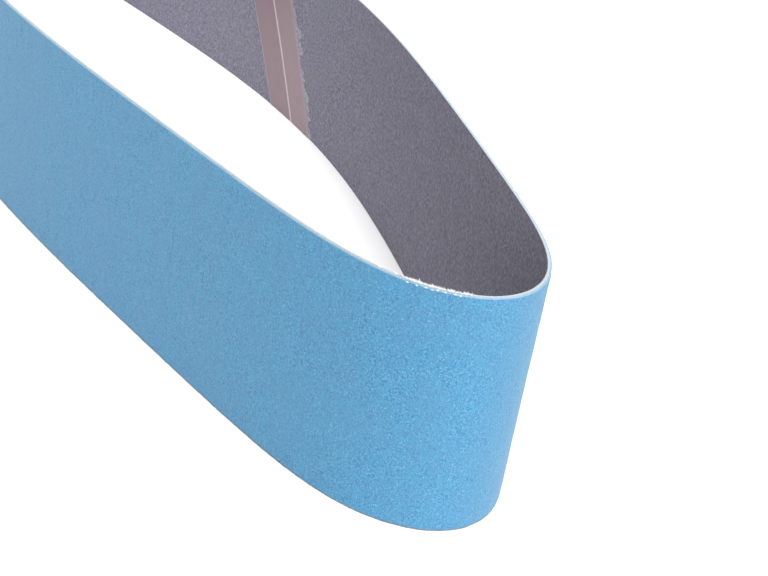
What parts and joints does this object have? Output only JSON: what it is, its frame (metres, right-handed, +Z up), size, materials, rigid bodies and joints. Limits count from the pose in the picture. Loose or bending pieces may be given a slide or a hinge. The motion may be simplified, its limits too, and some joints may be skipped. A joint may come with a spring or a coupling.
{
  "type": "abrasive belt",
  "caption": "Endless cloth-backed abrasive belt for a belt grinder, standing on its edge in the loop it unpacks to, with a taped butt splice on the back.",
  "frame": {"origin": "on the floor, below the middle of the loop", "axes": "+X along the loop's long axis from fold to fold, +Y across the loop towards the side that holds the splice, +Z up along the belt's width"},
  "size_m": [0.4276, 0.11, 0.05],
  "materials": {
    "abrasive_grain": "matte",
    "make_coat": "matte",
    "backing_cloth": "matte",
    "backsize_coat": "matte",
    "splice_adhesive": "satin",
    "splice_tape": "satin"
  },
  "bodies": {
    "root": {"abrasive_grain": "abrasive_grain", "make_coat": "make_coat", "backing_cloth": "backing_cloth", "backsize_coat": "backsize_coat", "splice_adhesive": "splice_adhesive", "splice_tape": "splice_tape"}
  },
  "joints": []
}
